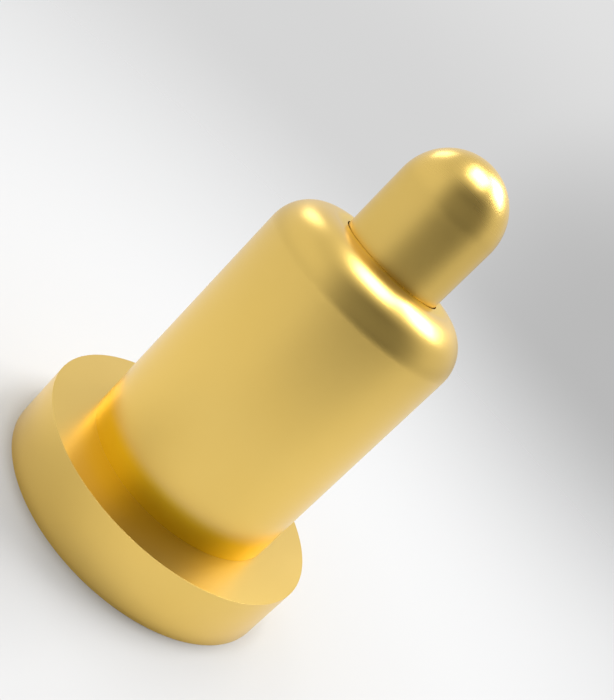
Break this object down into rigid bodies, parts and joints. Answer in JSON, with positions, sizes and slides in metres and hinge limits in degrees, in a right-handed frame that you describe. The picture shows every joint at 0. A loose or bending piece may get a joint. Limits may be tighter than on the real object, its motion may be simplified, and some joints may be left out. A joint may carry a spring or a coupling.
{
  "type": "pogo pin",
  "caption": "Surface-mount spring-loaded contact pin: a round-nosed plunger slides in a flanged, rolled-mouth barrel against a coil spring.",
  "frame": {"origin": "centre of the flange's solder face, at the bottom of the pin", "axes": "+Z along the pin's axis, from the solder face towards the plunger's nose; the pin is round, so X and Y are any two square directions"},
  "size_m": [0.0026, 0.0026, 0.0039],
  "materials": {
    "barrel": "satin gold plating over turned brass",
    "spring": "drawn spring steel wire",
    "plunger": "satin gold plating over turned brass, polished at the nose"
  },
  "bodies": {
    "barrel": {"barrel": "barrel", "spring": "spring"},
    "plunger": {"plunger": "plunger"}
  },
  "joints": [
    {"name": "plunger_press", "type": "slide", "parent": "barrel", "child": "plunger", "axis": [0, 0, -1], "range_m": [0, 0.0008], "stiffness_N_per_m": 561, "deforming": ["spring"]}
  ]
}
